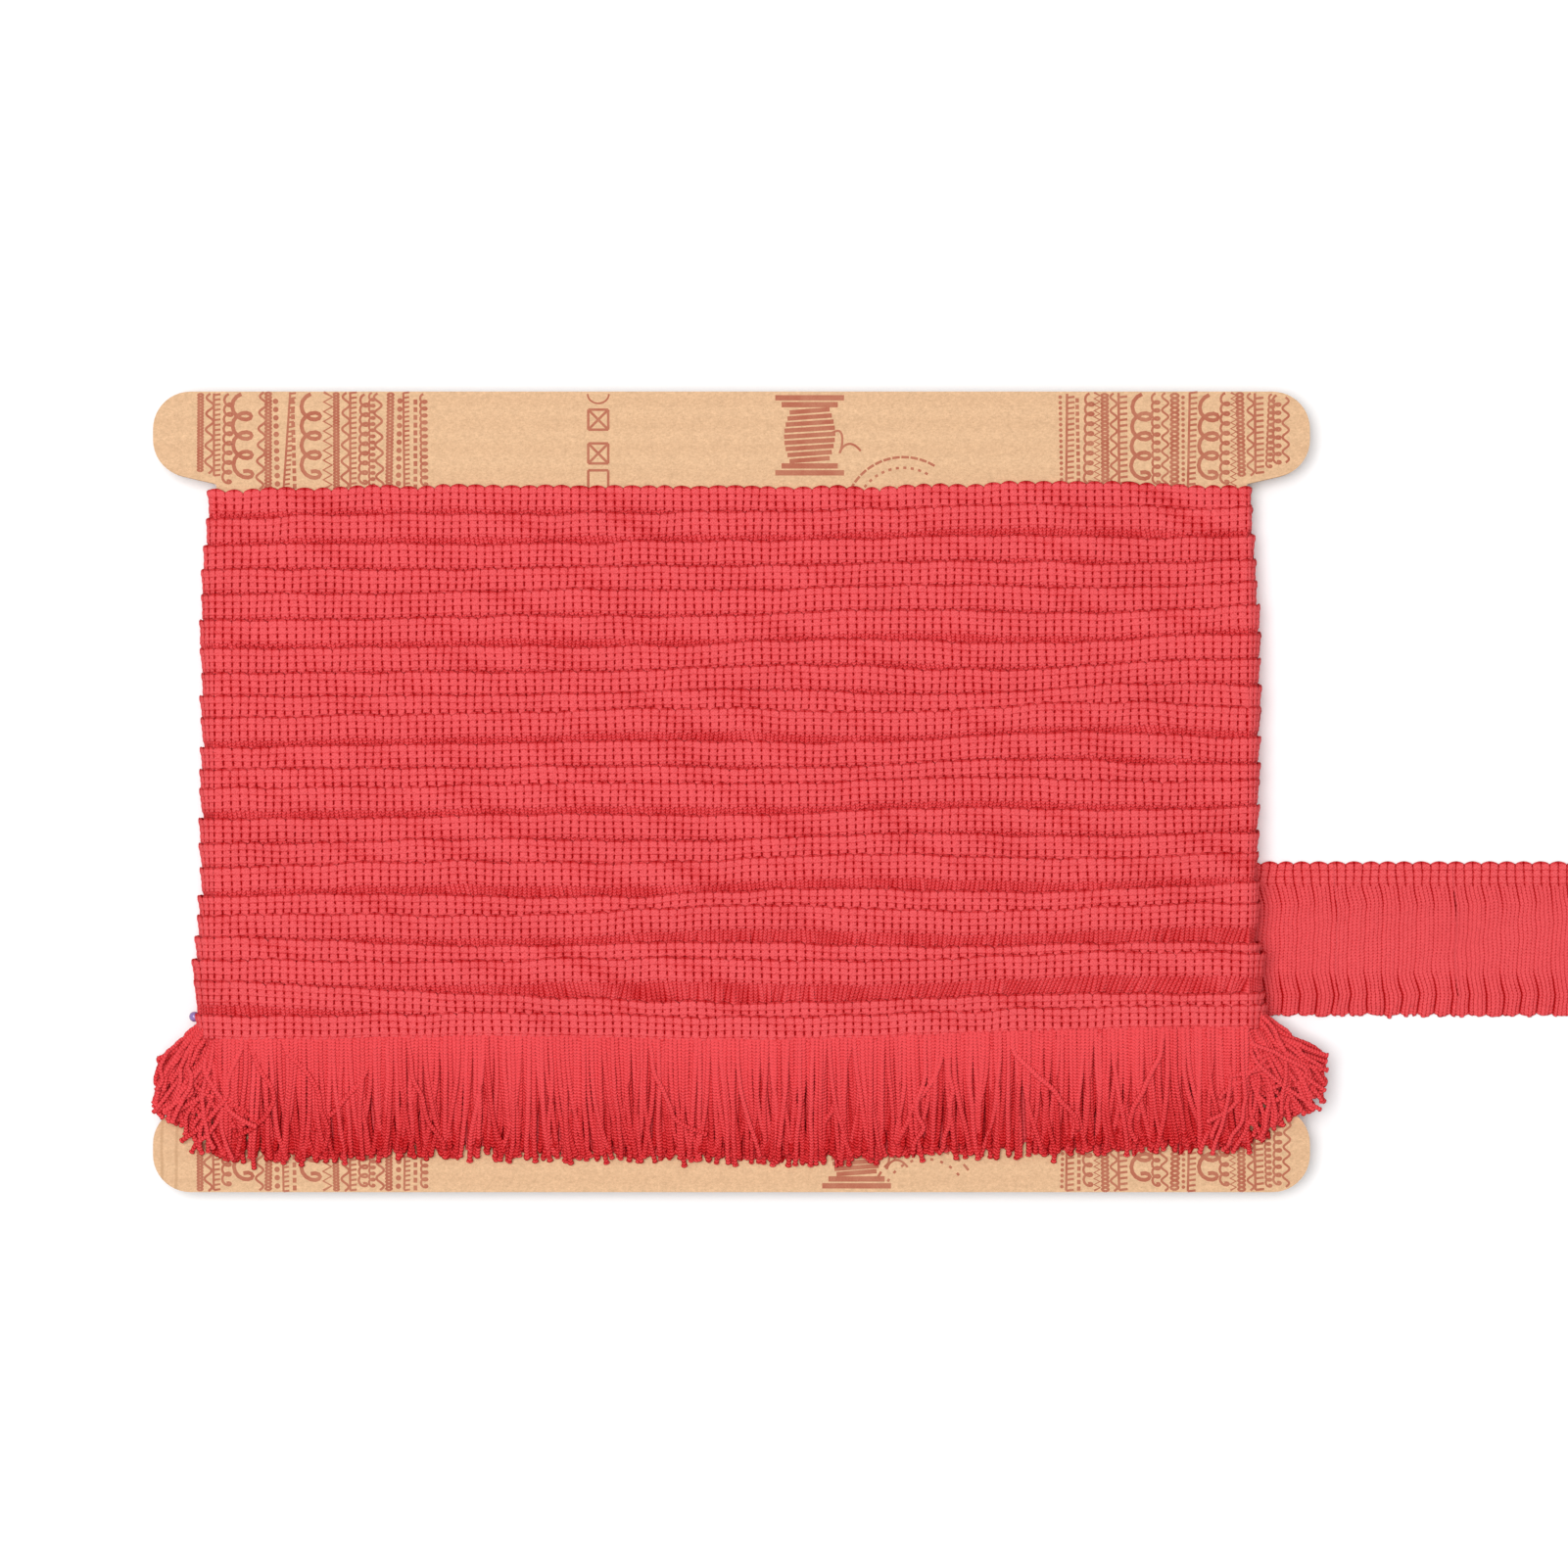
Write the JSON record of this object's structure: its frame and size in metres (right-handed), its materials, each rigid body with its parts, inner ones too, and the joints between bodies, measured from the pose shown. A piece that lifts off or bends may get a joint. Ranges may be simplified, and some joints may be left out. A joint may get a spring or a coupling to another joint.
{
  "type": "card of fringe trim",
  "caption": "Wide I-shaped corrugated card wound with shingled laps of red chainette fringe trim, its loose last lap pinned at the edge and a free tail leaving at one side.",
  "frame": {"origin": "on the resting plane, under the middle of the length of the card, which lies flat with its printed face up, in the middle of the strip that crosses the back", "axes": "+Z out of the printed face, +X along the card's long side towards the free tail of trim, +Y towards the bare end of the card"},
  "size_m": [0.4748, 0.256, 0.0198],
  "materials": {
    "trim_heading": "knitted gimp, soft sheen",
    "trim_fringe": "chainette cord, soft sheen",
    "printed_liner": "matt kraft paper with faded one-colour print",
    "plain_liner": "matt kraft paper",
    "fluting": "rough kraft medium",
    "pin_steel": "polished steel wire",
    "pin_pearl": "pearlised"
  },
  "bodies": {
    "bolt": {"card_front_liner": "printed_liner", "card_fluting": "fluting", "card_back_liner": "plain_liner", "lap_01_heading": "trim_heading", "lap_02_heading": "trim_heading", "lap_03_heading": "trim_heading", "lap_04_heading": "trim_heading", "lap_05_heading": "trim_heading", "lap_06_heading": "trim_heading", "lap_07_heading": "trim_heading", "lap_08_heading": "trim_heading", "lap_09_heading": "trim_heading", "lap_10_heading": "trim_heading", "lap_11_heading": "trim_heading", "lap_12_heading": "trim_heading", "lap_13_heading": "trim_heading", "lap_14_heading": "trim_heading", "lap_15_heading": "trim_heading", "lap_16_heading": "trim_heading", "lap_17_heading": "trim_heading", "lap_18_heading": "trim_heading", "lap_19_heading": "trim_heading", "lap_20_heading": "trim_heading", "lap_21_heading": "trim_heading", "lap_22_heading": "trim_heading", "lap_01_fringe": "trim_fringe", "lap_02_fringe": "trim_fringe", "lap_03_fringe": "trim_fringe", "lap_04_fringe": "trim_fringe", "lap_05_fringe": "trim_fringe", "lap_06_fringe": "trim_fringe", "lap_07_fringe": "trim_fringe", "lap_08_fringe": "trim_fringe", "lap_09_fringe": "trim_fringe", "lap_10_fringe": "trim_fringe", "lap_11_fringe": "trim_fringe", "lap_12_fringe": "trim_fringe", "lap_13_fringe": "trim_fringe", "lap_14_fringe": "trim_fringe", "lap_15_fringe": "trim_fringe", "lap_16_fringe": "trim_fringe", "lap_17_fringe": "trim_fringe", "lap_18_fringe": "trim_fringe", "lap_19_fringe": "trim_fringe", "lap_20_fringe": "trim_fringe", "lap_21_fringe": "trim_fringe", "left_corner_fringe": "trim_fringe", "right_corner_fringe": "trim_fringe", "back_run_heading": "trim_heading", "back_run_fringe": "trim_fringe"},
    "skirt": {"front_skirt": "trim_fringe"},
    "tail_1": {"tail_1_heading": "trim_heading", "tail_1_fringe": "trim_fringe"},
    "tail_2": {"tail_2_heading": "trim_heading", "tail_2_fringe": "trim_fringe"},
    "tail_3": {"tail_3_heading": "trim_heading", "tail_3_fringe": "trim_fringe"},
    "pin": {"pin_shank": "pin_steel", "pin_bead": "pin_pearl"}
  },
  "joints": [
    {"name": "skirt_lift", "type": "hinge", "parent": "bolt", "child": "skirt", "pos_m": [0, -0.0069, 0.01914], "axis": [-1, 0, 0], "range_deg": [0, 140]},
    {"name": "tail_root_bend", "type": "hinge", "parent": "bolt", "child": "tail_1", "pos_m": [0.1745, 0.0242, 0.00105], "axis": [0, -1, 0], "range_deg": [0, 75]},
    {"name": "tail_middle_bend", "type": "hinge", "parent": "tail_1", "child": "tail_2", "pos_m": [0.213, 0.0242, 0.00105], "axis": [0, -1, 0], "range_deg": [0, 45]},
    {"name": "tail_end_bend", "type": "hinge", "parent": "tail_2", "child": "tail_3", "pos_m": [0.2515, 0.0242, 0.00105], "axis": [0, -1, 0], "range_deg": [0, 45]},
    {"name": "pin_pull", "type": "slide", "parent": "bolt", "child": "pin", "axis": [-1, 0, 0], "range_m": [0, 0.036]}
  ]
}
